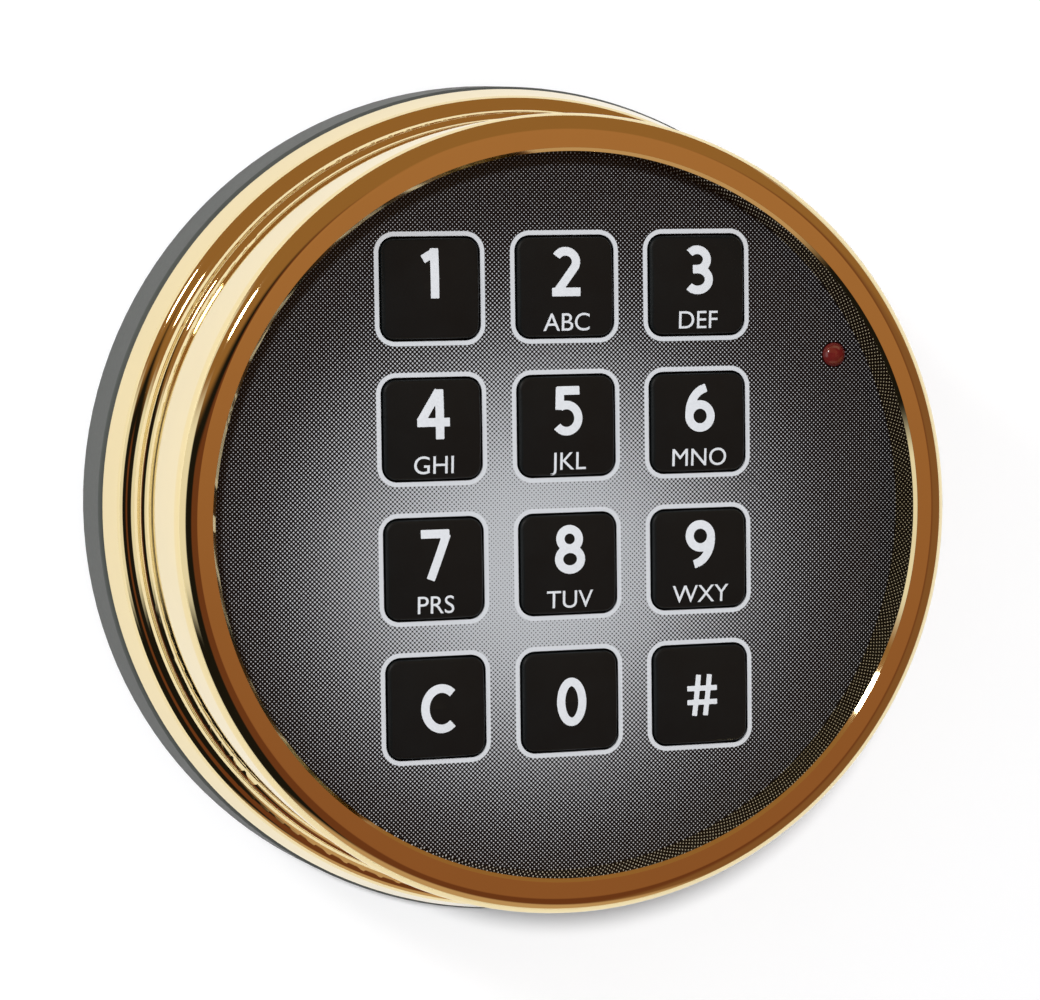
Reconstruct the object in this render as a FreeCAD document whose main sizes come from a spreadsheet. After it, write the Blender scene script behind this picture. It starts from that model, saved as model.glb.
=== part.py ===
import FreeCAD, Part
import math
import os
import re
import Sketcher

# Electronic safe lock, keypad entry unit. +X is right, +Y goes into the door and +Z is up.
# The origin is the centre of the base's back face. A depth is a distance in front of the door face.

SIZES = {
    # Mounting base
    "base_floor": (2.5, "thickness of the base's floor"),
    "base_depth": (8.5, "front edge of the base's skirt"),
    "skirt_wall": (1.9, "wall of the skirt at its front edge"),
    "skirt_draft": (0.5, "how much wider the skirt is at the door"),
    "skirt_round": (0.7, "rounding of the skirt's front edge"),
    "skirt_gap": (0.5, "radial gap between skirt and housing tail"),
    "spigot_wall": (2.1, "wall of the collar that carries the lugs"),
    "cable_radius": (6.0, "bore for the cable"),
    "screw_spacing": (41.3, "between the two door screws"),
    "screw_hole": (2.25, "radius of a door screw hole"),
    "screw_sink": (4.3, "radius of a countersink at its mouth"),
    "boss_radius": (5.5, "boss round a door screw hole"),
    "boss_height": (1.0, "bosses and ribs above the floor"),
    "rib_width": (1.6, "ribs on the floor"),
    "rib_start": (8.5, "radius where a rib starts"),
    "rib_count": (6, "ribs on the floor"),
    # Bayonet
    "lug_count": (3, "lugs on the base and on the housing"),
    "lug_span": (14.0, "degrees that a lug spans"),
    "lug_height": (2.6, "radial room for the lugs"),
    "lug_gap": (0.35, "radial gap past a lug"),
    "lug_thick": (2.5, "lug along the axis"),
    "lug_play": (0.5, "axial gap between engaged lugs"),
    "lug_setback": (1.4, "housing lug from the tail's end"),
    "stop_span": (3.0, "degrees that a stop beside a base lug spans"),
    "stop_play": (0.6, "degrees between a locked housing lug and its stop"),
    # Seal
    "seal_section": (1.6, "diameter of the seal's section"),
    "seal_gap": (0.1, "gap round the seal"),
    "seal_inset": (0.6, "groove from the tail's bore"),
    "tail_gap": (0.9, "tail's end above the base's floor"),
    # Housing
    "head_radius": (43.7, "outside of the housing's side"),
    "head_wall": (2.0, "wall of the housing's side"),
    "head_front": (34.9, "front face"),
    "head_round": (2.2, "rounding of the front's outer edge"),
    "lip_width": (4.1, "front ring from the well to the side"),
    "lip_chamfer": (0.35, "chamfer of the lip's inner edge"),
    "well_depth": (5.4, "film below the front face"),
    "tail_step": (0.9, "tail's bore is this much wider in radius"),
    "tail_wall": (3.0, "wall of the tail"),
    "rim_gap": (0.6, "shadow gap between base and rim"),
    "rim_reach": (2.0, "rim beyond the tail"),
    "rim_height": (3.95, "rim along the axis, up to its rounding"),
    "rim_draft": (0.94, "rim narrows by this in radius"),
    "rim_round": (1.3, "rounding of the rim's front edge"),
    "ledge_slope": (15, "degrees that the ledge between rounding and cove falls away"),
    "cove_radius": (1.6, "hollow of the lower cove"),
    "bead_thick": (1.14, "bead along the axis"),
    "neck_height": (1.07, "upper cove along the axis"),
    "neck_radius": (1.1, "hollow of the upper cove"),
    "shoulder_gap": (0.5, "shoulder above the collar"),
    "shoulder_thick": (1.5, "shoulder behind the snap ring"),
    # Snap ring and tray
    "snap_thick": (1.2, "retaining ring"),
    "snap_bite": (0.8, "ring's groove into the wall"),
    "snap_width": (2.5, "ring's band"),
    "snap_opening": (24.0, "degrees open between the ring's eyes"),
    "snap_eye": (2.1, "radius of an eye"),
    "snap_eye_hole": (0.9, "hole in an eye"),
    "snap_play": (0.05, "ring in its groove"),
    "fit_gap": (0.3, "radial gap of what goes into the bore"),
    "tray_plate": (1.5, "plate of the tray"),
    "tray_skirt": (1.6, "wall that clamps the fascia"),
    "tray_wall": (1.2, "walls of the battery's pocket"),
    "tray_floor": (1.0, "floor of the battery's pocket"),
    "tray_window_wide": (18.0, "window over the cable socket"),
    "tray_window_tall": (14.0, "window over the cable socket"),
    "tray_clear": (0.5, "battery's pocket behind the board"),
    "tray_rib": (1.2, "ribs on the tray's plate"),
    "tray_rib_tall": (1.0, "ribs above the tray's plate"),
    "tray_rib_long": (16.0, "ribs on the tray's plate"),
    "tray_rib_across": (30.0, "ribs from the axis"),
    "tray_rib_up": (-10.0, "ribs' middle"),
    # Film, fascia and keys
    "film_thick": (0.3, "overlay film"),
    "fascia_thick": (2.0, "fascia plate"),
    "key_pitch": (15.24, "between key centres"),
    "grid_across": (0.6, "key grid's centre from the axis"),
    "grid_up": (2.1, "key grid's centre above the axis"),
    "window_wide": (11.3, "square window for a key"),
    "window_corner": (1.6, "corner of a window"),
    "key_gap": (0.2, "gap between a key and its window"),
    "key_crown": (0.85, "crown above the film"),
    "key_shoulder": (0.35, "crown's fall from the middle to the sides"),
    "key_round": (0.45, "rounding of a key's front edge"),
    "key_lap": (0.65, "flange beyond the window"),
    "flange_gap": (0.1, "flange behind the fascia"),
    "flange_thick": (0.8, "key flange"),
    "stem_radius": (1.4, "key stem"),
    "crown_share": (0.75, "the crown's measured reach, as a share of the key's width"),
    "key_travel": (0.5, "travel of a key"),
    "stem_clear": (0.05, "stem above its dome at rest"),
    "dome_radius": (4.2, "snap dome"),
    "dome_height": (0.55, "snap dome"),
    "dome_thick": (0.15, "snap dome"),
    "dome_edge": (0.6, "flat width of the snap dome's edge"),
    # Board
    "board_room": (0.9, "board behind a pressed key's flange"),
    "board_thick": (1.6, "circuit board"),
    "board_gap": (0.5, "board inside the tray's skirt"),
    "post_clear": (3.15, "board screw's head beyond the battery's pocket"),
    "post_up": (12.0, "board screw from the axis"),
    "post_radius": (2.2, "fascia post"),
    "pilot_radius": (0.9, "pilot hole and screw thread"),
    "pilot_depth": (1.0, "pilot hole into the fascia plate"),
    "board_hole": (1.2, "hole for a board screw"),
    "screw_head": (2.0, "radius of a board screw's head"),
    "screw_head_tall": (1.3, "board screw's head"),
    "screw_slot": (0.6, "slot in a screw's head"),
    "screw_round": (0.4, "rounding of a screw's head"),
    # Status light
    "light_across": (32.2, "light from the axis"),
    "light_up": (16.9, "light above the axis"),
    "light_radius": (1.35, "light's lens"),
    "light_gap": (0.1, "gap round the lens"),
    "light_crown": (0.9, "lens above the film"),
    "light_foot": (1.75, "light's foot"),
    "light_foot_tall": (0.8, "light's foot"),
    # Battery
    "battery_long": (48.5, "battery with its terminals"),
    "battery_wide": (26.5, "battery"),
    "battery_thick": (17.5, "battery"),
    "battery_round": (2.0, "battery's long edges"),
    "battery_up": (14.8, "battery's centre above the axis"),
    "battery_gap": (0.4, "gap round the battery"),
    "stud_tall": (2.1, "battery terminal"),
    "stud_radius": (2.8, "battery terminal"),
    "stud_spacing": (12.7, "between the terminals"),
    "socket_gap": (0.1, "connector round a terminal"),
    "connector_wide": (23.0, "battery connector"),
    "connector_tall": (15.0, "battery connector"),
    "pin_radius": (0.5, "connector pin"),
    "pin_spacing": (10.0, "between the connector's pins"),
    "clip_wide": (8.0, "battery clip"),
    "clip_thick": (0.5, "battery clip"),
    "clip_gap": (0.15, "clip beside the battery"),
    "clip_foot": (5.5, "foot of the clip"),
    "clip_across": (-6.0, "clip's centre from the axis"),
    "clip_screw": (0.7, "radius of a clip screw's shank"),
    "clip_head": (1.6, "radius of a clip screw's head"),
    "clip_head_tall": (0.9, "clip screw's head"),
    # Parts on the board's back
    "chip_long": (17.9, "controller chip"),
    "chip_wide": (7.5, "controller chip"),
    "chip_tall": (2.5, "controller chip"),
    "chip_up": (-7.5, "chip's centre"),
    "chip_legs": (14, "legs on each side of the chip"),
    "leg_pitch": (1.27, "between the chip's legs"),
    "leg_wide": (0.45, "chip leg"),
    "leg_reach": (1.4, "chip leg"),
    "chip_rise": (0.1, "chip's case above the board"),
    "buzzer_radius": (6.0, "buzzer"),
    "buzzer_tall": (6.0, "buzzer"),
    "buzzer_port": (1.2, "hole in the buzzer"),
    "buzzer_across": (-20.0, "buzzer's centre"),
    "buzzer_up": (-20.0, "buzzer's centre"),
    "capacitor_radius": (3.15, "capacitor"),
    "capacitor_tall": (7.0, "capacitor"),
    "capacitor_crimp": (0.3, "depth of the groove round the capacitor's foot"),
    "capacitor_foot": (1.1, "groove from the board"),
    "capacitor_across": (20.0, "capacitor's centre"),
    "capacitor_up": (-16.0, "capacitor's centre"),
    "crystal_long": (10.5, "crystal"),
    "crystal_wide": (4.6, "crystal"),
    "crystal_tall": (3.5, "crystal"),
    "crystal_end": (2.2, "rounding of the crystal's ends"),
    "crystal_flange": (0.35, "crystal's foot beyond its can"),
    "crystal_foot": (0.5, "crystal's foot"),
    "crystal_across": (19.0, "crystal's centre"),
    "crystal_up": (-26.5, "crystal's centre"),
    "socket_wide": (10.2, "cable socket"),
    "socket_deep": (5.8, "cable socket"),
    "socket_tall": (7.0, "cable socket"),
    "socket_wall": (0.8, "cable socket"),
    "socket_up": (-20.0, "socket's centre"),
}

# Planes, radii and places that follow from the sizes
DERIVED = {
    "head_bore": "head_radius - head_wall",
    "well_radius": "head_radius - lip_width",
    "film_front": "head_front - well_depth",
    "tail_bore": "head_bore + tail_step",
    "tail_outer": "tail_bore + tail_wall",
    "tail_end": "base_floor + tail_gap",
    "skirt_inner": "tail_outer + skirt_gap",
    "skirt_outer": "skirt_inner + skirt_wall",
    "base_radius": "skirt_outer + skirt_draft",
    "spigot_outer": "tail_bore - lug_height",
    "spigot_inner": "spigot_outer - spigot_wall",
    "head_lug_back": "tail_end + lug_setback",
    "head_lug_front": "head_lug_back + lug_thick",
    "base_lug_back": "head_lug_front + lug_play",
    "spigot_front": "base_lug_back + lug_thick",
    "boss_front": "base_floor + boss_height",
    "rim_back": "base_depth + rim_gap",
    "rim_radius": "tail_outer + rim_reach",
    "rim_front": "rim_back + rim_height",
    "rim_slope": "atan(rim_draft / rim_height)",
    "rim_edge": "rim_radius - rim_draft",
    "ledge_radius": "rim_edge - rim_round * (cos(rim_slope) - sin(ledge_slope))",
    "ledge_depth": "rim_front + rim_round * (cos(ledge_slope) - sin(rim_slope))",
    "bead_radius": "ledge_radius - cove_radius * (1 - sin(ledge_slope))",
    "bead_back": "ledge_depth + cove_radius * cos(ledge_slope)",
    "bead_front": "bead_back + bead_thick",
    "neck_front": "bead_front + neck_height",
    "shoulder_back": "spigot_front + shoulder_gap",
    "snap_back": "shoulder_back + shoulder_thick",
    "snap_front": "snap_back + snap_thick",
    "snap_groove": "head_bore + snap_bite",
    "snap_outer": "snap_groove - 2 * snap_play",
    "insert_radius": "head_bore - fit_gap",
    "film_back": "film_front - film_thick",
    "fascia_back": "film_back - fascia_thick",
    "skirt_bore": "insert_radius - tray_skirt",
    "plate_front": "snap_front + tray_plate",
    "board_front": "flange_back - key_travel - board_room",
    "board_back": "board_front - board_thick",
    "board_radius": "skirt_bore - board_gap",
    "pocket_front": "board_back - tray_clear",
    "battery_front": "pocket_front - tray_floor",
    "battery_back": "battery_front - battery_thick",
    "pocket_long": "battery_long + 2 * battery_gap",
    "pocket_wide": "battery_wide + 2 * battery_gap",
    "can_long": "battery_long - stud_tall",
    "connector_thick": "stud_tall + battery_gap",
    "post_across": "pocket_long / 2 + tray_wall + post_clear + screw_head",
    "can_right": "battery_long / 2 - stud_tall",
    "pin_across": "can_right + connector_thick / 2",
    "key_wide": "window_wide - 2 * key_gap",
    "key_corner": "window_corner - key_gap",
    "flange_wide": "window_wide + 2 * key_lap",
    "flange_front": "fascia_back - flange_gap",
    "flange_back": "flange_front - flange_thick",
    "dome_front": "board_front + dome_height",
    "stem_back": "dome_front + stem_clear",
    "key_front": "film_front + key_crown",
    "crown_reach": "key_wide * crown_share",
    "crown_fall": "key_shoulder * (2 * crown_share) ^ 2",
    "dome_hollow": "dome_height - dome_thick",
    "dome_inner": "dome_radius - dome_edge",
    "seal_radius": "tail_bore + seal_inset + seal_gap + seal_section / 2",
    "seal_depth": "base_floor + seal_gap + seal_section / 2",
    "groove_inner": "seal_radius - seal_section / 2 - seal_gap",
    "groove_outer": "seal_radius + seal_section / 2 + seal_gap",
    "groove_top": "seal_depth + seal_section / 2 + seal_gap",
}

KEYS = [
    ["1", "2", "3"],
    ["4", "5", "6"],
    ["7", "8", "9"],
    ["c", "0", "hash"],
]

XY, XZ, YZ = "XY_Plane", "XZ_Plane", "YZ_Plane"
OTHER_SIDE = {"left": "right", "right": "left"}

# How far a rib, lug or boss runs into what carries it, a pad into the one under it, and a cutting
# shape beyond what it cuts
FUSE = 0.4
SINK = 0.1
OVERRUN = 1

doc = FreeCAD.newDocument("SafeLock")
sheet = doc.addObject("Spreadsheet::Sheet", "Sizes")
for row, (alias, (number, note)) in enumerate(SIZES.items(), start=1):
    sheet.set("A%d" % row, alias)
    sheet.set("B%d" % row, str(number))
    sheet.set("C%d" % row, note)
    sheet.setAlias("B%d" % row, alias)
doc.recompute()


def expand(text):
    """Write the sizes and derived values in an expression as cells of the sheet."""
    def cell(match):
        word = match.group(0)
        if word in SIZES:
            return "Sizes." + word
        if word in DERIVED:
            return "(" + expand(DERIVED[word]) + ")"
        return word
    return re.sub(r"[a-z_]+", cell, str(text))


def value(text):
    """The number that an expression gives now."""
    return float(sheet.evalExpression(expand(text)))


def bind(thing, path, text):
    """Tie a property to an expression on the sheet."""
    thing.setExpression(path, expand(text))


def new_body(label):
    """An empty body with its label."""
    body = doc.addObject("PartDesign::Body", label)
    body.Label = label
    return body


def place(body, across="0", up="0"):
    """Put a body that was drawn on the axis at its own place."""
    bind(body, "Placement.Base.x", across)
    bind(body, "Placement.Base.z", up)


def new_sketch(body, name, plane=XZ, depth="0", across="0"):
    """A sketch on an origin plane; depth lifts a front view, across shifts a section."""
    sketch = body.newObject("Sketcher::SketchObject", body.Label + "_" + name)
    role = [item for item in body.Origin.OriginFeatures if item.Role == plane][0]
    sketch.AttachmentSupport = [(role, "")]
    sketch.MapMode = "FlatFace"
    if plane == XZ:
        bind(sketch, "AttachmentOffset.Base.z", depth)
    if plane == XY:
        bind(sketch, "AttachmentOffset.Base.x", across)
    return sketch


def fix_point(sketch, edge, end, x, y):
    """Hold one point of an edge at two expressions."""
    for axis, kind, text in ((-2, "DistanceX", x), (-1, "DistanceY", y)):
        if text == "0":
            sketch.addConstraint(Sketcher.Constraint("PointOnObject", edge, end, axis))
        else:
            held = Sketcher.Constraint(kind, -1, 1, edge, end, value(text))
            index = sketch.addConstraint(held)
            bind(sketch, "Constraints[%d]" % index, text)


def arc_between(start, end, radius, side):
    """An arc from start to end with its centre on one side, and whether it runs backwards."""
    chord = end - start
    rise = math.sqrt(max(radius ** 2 - chord.Length ** 2 / 4, 0))
    left = FreeCAD.Vector(-chord.y, chord.x, 0).normalize()
    centre = (start + end) * 0.5 + left * (rise if side == "left" else -rise)
    circle = Part.Circle(centre, FreeCAD.Vector(0, 0, 1), radius)
    first, last = (start, end) if side == "left" else (end, start)
    angles = [math.atan2(point.y - centre.y, point.x - centre.x) for point in (first, last)]
    if angles[1] < angles[0]:
        angles[1] += 2 * math.pi
    return Part.ArcOfCircle(circle, angles[0], angles[1]), side != "left"


def draw_outline(sketch, corners):
    """A closed outline. A corner is (x, y), or (x, y, side, radius) where an arc follows it."""
    points = [FreeCAD.Vector(value(corner[0]), value(corner[1]), 0) for corner in corners]
    edges = []
    for number, corner in enumerate(corners):
        start, end = points[number], points[(number + 1) % len(points)]
        if len(corner) == 2:
            edge = sketch.addGeometry(Part.LineSegment(start, end))
            edges.append((edge, 1, 2))
            continue
        arc, backwards = arc_between(start, end, value(corner[3]), corner[2])
        edge = sketch.addGeometry(arc)
        edges.append((edge, 2, 1) if backwards else (edge, 1, 2))
    for number, corner in enumerate(corners):
        edge, first, last = edges[number]
        following, entry, unused = edges[(number + 1) % len(edges)]
        sketch.addConstraint(Sketcher.Constraint("Coincident", edge, last, following, entry))
        fix_point(sketch, edge, first, corner[0], corner[1])
        if len(corner) == 4:
            index = sketch.addConstraint(Sketcher.Constraint("Radius", edge, value(corner[3])))
            bind(sketch, "Constraints[%d]" % index, corner[3])


def draw_circle(sketch, x, y, radius):
    """A circle about a point."""
    centre = FreeCAD.Vector(value(x), value(y), 0)
    edge = sketch.addGeometry(Part.Circle(centre, FreeCAD.Vector(0, 0, 1), value(radius)))
    fix_point(sketch, edge, 3, x, y)
    index = sketch.addConstraint(Sketcher.Constraint("Radius", edge, value(radius)))
    bind(sketch, "Constraints[%d]" % index, radius)


def draw_rectangle(sketch, x, y, width, height, corner=None):
    """A rectangle about a point, with round corners where a radius is given."""
    left, right = "%s - (%s) / 2" % (x, width), "%s + (%s) / 2" % (x, width)
    low, high = "%s - (%s) / 2" % (y, height), "%s + (%s) / 2" % (y, height)
    if corner is None:
        draw_outline(sketch, [(left, low), (right, low), (right, high), (left, high)])
        return
    draw_outline(sketch, [
        (left + " + " + corner, low),
        (right + " - " + corner, low, "left", corner),
        (right, low + " + " + corner),
        (right, high + " - " + corner, "left", corner),
        (right + " - " + corner, high),
        (left + " + " + corner, high, "left", corner),
        (left, high + " - " + corner),
        (left, low + " + " + corner, "left", corner),
    ])


def section(body, name, corners, across="0"):
    """A section sketch beside the axis, from corners of radius and depth.

    Depth runs against the sketch's own y, so an arc's centre changes sides.
    """
    sketch = new_sketch(body, name, XY, across=across)
    outline = []
    for radius, depth, *arc in corners:
        y = "0" if depth == "0" else "-(%s)" % depth
        if arc:
            arc = [OTHER_SIDE[arc[0]], arc[1]]
        outline.append((radius, y, *arc))
    draw_outline(sketch, outline)
    return sketch


def turn(body, name, corners, angle="360", across="0", cut=False):
    """Revolve a section about the axis, whole or through an angle, to add or to cut."""
    sketch = section(body, name + "_section", corners, across)
    kind = "PartDesign::Groove" if cut else "PartDesign::Revolution"
    feature = body.newObject(kind, body.Label + "_" + name)
    feature.Profile = sketch
    feature.ReferenceAxis = (sketch, ["V_Axis"])
    bind(feature, "Angle", angle)
    feature.Midplane = True
    body.Tip = feature
    return feature, sketch


def block(body, name, depth, length, *shapes, cut=False, through=False, plane=XZ):
    """Pad shapes towards the front, or cut them towards the door, from a depth."""
    sketch = new_sketch(body, name + "_outline", plane, depth)
    for draw, *values in shapes:
        draw(sketch, *values)
    kind = "PartDesign::Pocket" if cut else "PartDesign::Pad"
    feature = body.newObject(kind, body.Label + "_" + name)
    feature.Profile = sketch
    if through:
        feature.Type = "ThroughAll"
    else:
        bind(feature, "Length", length)
    body.Tip = feature
    return feature, sketch


def swing(sketch, angle):
    """Turn a section about the axis to its own angle."""
    turned = FreeCAD.Rotation(FreeCAD.Vector(0, 1, 0), value(angle))
    sketch.AttachmentOffset = FreeCAD.Placement(FreeCAD.Vector(), turned)
    bind(sketch, "AttachmentOffset.Rotation.Angle", angle)


def repeat_round(body, feature, sketch, count):
    """Repeat a feature round the axis."""
    pattern = body.newObject("PartDesign::PolarPattern", feature.Label + "_round")
    pattern.Originals = [feature]
    pattern.Axis = (sketch, ["V_Axis"])
    pattern.Angle = 360
    bind(pattern, "Occurrences", count)
    body.Tip = pattern


def mirror(body, feature, axes):
    """Repeat a feature to the left, below, or both."""
    steps = []
    for axis in axes:
        plane = [item for item in body.Origin.OriginFeatures if item.Role == axis][0]
        if len(axes) == 1:
            step = body.newObject("PartDesign::Mirrored", feature.Label + "_mirror")
            step.Originals = [feature]
            step.MirrorPlane = (plane, [""])
            body.Tip = step
            return
        step = body.newObject("PartDesign::Mirrored", feature.Label + "_" + axis)
        step.MirrorPlane = (plane, [""])
        steps.append(step)
    both = body.newObject("PartDesign::MultiTransform", feature.Label + "_mirrors")
    both.Originals = [feature]
    both.Transformations = steps
    body.Tip = both


def repeat_keys(body, feature, sketch):
    """Repeat a window at every key of the grid, from the lower left one."""
    across = body.newObject("PartDesign::LinearPattern", feature.Label + "_columns")
    across.Direction = (sketch, ["H_Axis"])
    across.Occurrences = len(KEYS[0])
    bind(across, "Length", "%d * key_pitch" % (len(KEYS[0]) - 1))
    up = body.newObject("PartDesign::LinearPattern", feature.Label + "_rows")
    up.Direction = (sketch, ["V_Axis"])
    up.Occurrences = len(KEYS)
    bind(up, "Length", "%d * key_pitch" % (len(KEYS) - 1))
    grid = body.newObject("PartDesign::MultiTransform", feature.Label + "_grid")
    grid.Originals = [feature]
    grid.Transformations = [across, up]
    body.Tip = grid


def key_place(column, row):
    """The centre of a key, as two expressions."""
    across = "grid_across + %s * key_pitch" % (column - (len(KEYS[0]) - 1) / 2)
    up = "grid_up + %s * key_pitch" % ((len(KEYS) - 1) / 2 - row)
    return across, up


def make_base():
    """The dish against the door: floor, skirt, collar with lugs, bosses, ribs and bore."""
    body = new_body("mounting_base")
    turn(body, "dish", [
        ("cable_radius", "0"),
        ("base_radius", "0"),
        ("skirt_outer", "base_depth - skirt_round", "left", "skirt_round"),
        ("skirt_outer - skirt_round", "base_depth"),
        ("skirt_inner", "base_depth"),
        ("skirt_inner", "base_floor"),
        ("spigot_outer", "base_floor"),
        ("spigot_outer", "spigot_front"),
        ("spigot_inner", "spigot_front"),
        ("spigot_inner", "base_floor"),
        ("cable_radius", "base_floor"),
    ])
    lug, sketch = turn(body, "lug", [
        ("spigot_outer - %s" % FUSE, "base_lug_back"),
        ("tail_bore - lug_gap", "base_lug_back"),
        ("tail_bore - lug_gap", "spigot_front"),
        ("spigot_outer - %s" % FUSE, "spigot_front"),
    ], angle="lug_span")
    repeat_round(body, lug, sketch, "lug_count")
    stop, sketch = turn(body, "stop", [
        ("spigot_outer - %s" % FUSE, "base_floor - %s" % FUSE),
        ("tail_bore - lug_gap", "base_floor - %s" % FUSE),
        ("tail_bore - lug_gap", "spigot_front"),
        ("spigot_outer - %s" % FUSE, "spigot_front"),
    ], angle="stop_span")
    swing(sketch, "lug_span / 2 + stop_play + stop_span / 2")
    repeat_round(body, stop, sketch, "lug_count")
    rib, sketch = turn_rib(body)
    repeat_round(body, rib, sketch, "rib_count")
    boss, unused = block(body, "boss", "base_floor - %s" % FUSE, "boss_height + %s" % FUSE,
                         (draw_circle, "screw_spacing / 2", "0", "boss_radius"))
    mirror(body, boss, [YZ])
    hole, unused = turn(body, "screw_hole", [
        ("0", "-%s" % OVERRUN),
        ("screw_hole", "-%s" % OVERRUN),
        ("screw_hole", "boss_front - screw_sink + screw_hole"),
        ("screw_sink + %s" % OVERRUN, "boss_front + %s" % OVERRUN),
        ("0", "boss_front + %s" % OVERRUN),
    ], across="screw_spacing / 2", cut=True)
    mirror(body, hole, [YZ])


def turn_rib(body):
    """One radial rib on the base's floor, between two bosses."""
    sketch = section(body, "rib_section", [
        ("rib_start", "base_floor - %s" % FUSE),
        ("spigot_inner + %s" % FUSE, "base_floor - %s" % FUSE),
        ("spigot_inner + %s" % FUSE, "boss_front"),
        ("rib_start", "boss_front"),
    ])
    rib = body.newObject("PartDesign::Pad", "mounting_base_rib")
    rib.Profile = sketch
    bind(rib, "Length", "rib_width")
    rib.Midplane = True
    body.Tip = rib
    return rib, sketch


def make_housing():
    """The plated housing: tail, rim, coves and bead, side, front lip, and the bayonet's lugs."""
    body = new_body("bezel_housing")
    turn(body, "casting", [
        ("tail_bore", "tail_end"),
        ("groove_inner", "tail_end"),
        ("groove_inner", "groove_top"),
        ("groove_outer", "groove_top"),
        ("groove_outer", "tail_end"),
        ("tail_outer", "tail_end"),
        ("tail_outer", "rim_back"),
        ("rim_radius", "rim_back"),
        ("rim_edge", "rim_front", "left", "rim_round"),
        ("ledge_radius", "ledge_depth", "right", "cove_radius"),
        ("bead_radius", "bead_back"),
        ("bead_radius", "bead_front", "right", "neck_radius"),
        ("head_radius", "neck_front"),
        ("head_radius", "head_front - head_round", "left", "head_round"),
        ("head_radius - head_round", "head_front"),
        ("well_radius + lip_chamfer", "head_front"),
        ("well_radius", "head_front - lip_chamfer"),
        ("well_radius", "film_front"),
        ("head_bore", "film_front"),
        ("head_bore", "snap_front"),
        ("snap_groove", "snap_front"),
        ("snap_groove", "snap_back"),
        ("head_bore", "snap_back"),
        ("head_bore", "shoulder_back"),
        ("tail_bore", "shoulder_back"),
    ])
    lug, sketch = turn(body, "lug", [
        ("spigot_outer + lug_gap", "head_lug_back"),
        ("tail_bore + %s" % FUSE, "head_lug_back"),
        ("tail_bore + %s" % FUSE, "head_lug_front"),
        ("spigot_outer + lug_gap", "head_lug_front"),
    ], angle="lug_span")
    repeat_round(body, lug, sketch, "lug_count")


def make_seal():
    """The rubber ring between the housing's tail and the base's floor."""
    seal = doc.addObject("Part::Torus", "seal_ring")
    seal.Label = "seal_ring"
    bind(seal, "Radius1", "seal_radius")
    bind(seal, "Radius2", "seal_section / 2")
    bind(seal, "Placement.Base.y", "-(seal_depth)")
    seal.Placement.Rotation = FreeCAD.Rotation(FreeCAD.Vector(1, 0, 0), 90)


def cut_windows(body, depth):
    """Cut the twelve key windows and the light's window from a depth."""
    across, up = key_place(0, len(KEYS) - 1)
    window, sketch = block(body, "window", depth, None,
                           (draw_rectangle, across, up, "window_wide", "window_wide",
                            "window_corner"), cut=True, through=True)
    repeat_keys(body, window, sketch)
    block(body, "light_window", depth, None,
          (draw_circle, "light_across", "light_up", "light_radius + light_gap"),
          cut=True, through=True)


def make_film():
    """The printed film that lies against the lip."""
    body = new_body("overlay_film")
    block(body, "disc", "film_back", "film_thick", (draw_circle, "0", "0", "insert_radius"))
    cut_windows(body, "film_front")


def make_fascia():
    """The plate that guides the keys, with four posts for the board."""
    body = new_body("fascia_panel")
    block(body, "plate", "fascia_back", "fascia_thick", (draw_circle, "0", "0", "insert_radius"))
    cut_windows(body, "film_back")
    post, unused = turn(body, "post", [
        ("pilot_radius", "board_front"),
        ("post_radius", "board_front"),
        ("post_radius", "fascia_back + %s" % FUSE),
        ("pilot_radius", "fascia_back + %s" % FUSE),
    ], across="post_across")
    post_sketch = post.Profile[0]
    bind(post_sketch, "AttachmentOffset.Base.z", "post_up")
    mirror(body, post, [XY, YZ])
    pilot, pilot_sketch = turn(body, "pilot", [
        ("0", "board_front"),
        ("pilot_radius", "board_front"),
        ("pilot_radius", "fascia_back + pilot_depth"),
        ("0", "fascia_back + pilot_depth"),
    ], across="post_across", cut=True)
    bind(pilot_sketch, "AttachmentOffset.Base.z", "post_up")
    mirror(body, pilot, [XY, YZ])


def make_key(label, across, up):
    """A pillow-domed cap with the flange and stem behind it, drawn on its own axis."""
    body = new_body("key_" + label)
    block(body, "flange", "flange_back", "flange_thick",
          (draw_rectangle, "0", "0", "flange_wide", "flange_wide", "window_corner"))
    block(body, "cap", "flange_front - %s" % SINK, "key_front - flange_front + %s" % SINK,
          (draw_rectangle, "0", "0", "key_wide", "key_wide", "key_corner"))
    turn(body, "crown", [
        ("0", "key_front", "right", "(crown_reach ^ 2 + crown_fall ^ 2) / 2 / crown_fall"),
        ("crown_reach", "key_front - crown_fall"),
        ("crown_reach", "key_front + %s" % OVERRUN),
        ("0", "key_front + %s" % OVERRUN),
    ], cut=True)
    soften_edge(body)
    block(body, "stem", "stem_back", "flange_back - stem_back + %s" % SINK,
          (draw_circle, "0", "0", "stem_radius"))
    place(body, across, up)
    return body


def soften_edge(body):
    """Round the edge between a key's crown and its sides."""
    doc.recompute()
    crown = body.Tip
    limit = -value("key_front - 3 * key_shoulder")
    edges = ["Edge%d" % number for number, edge in enumerate(crown.Shape.Edges, start=1)
             if edge.BoundBox.YMax < limit]
    rounded = body.newObject("PartDesign::Fillet", body.Label + "_round")
    rounded.Base = (crown, edges)
    bind(rounded, "Radius", "key_round")
    body.Tip = rounded


def make_dome(label, across, up):
    """The metal snap dome under a key."""
    body = new_body("snap_dome_" + label)
    turn(body, "shell", [
        ("dome_radius", "board_front", "left",
         "(dome_radius ^ 2 + dome_height ^ 2) / 2 / dome_height"),
        ("0", "dome_front"),
        ("0", "dome_front - dome_thick", "right",
         "(dome_inner ^ 2 + dome_hollow ^ 2) / 2 / dome_hollow"),
        ("dome_inner", "board_front"),
    ])
    place(body, across, up)


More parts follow.
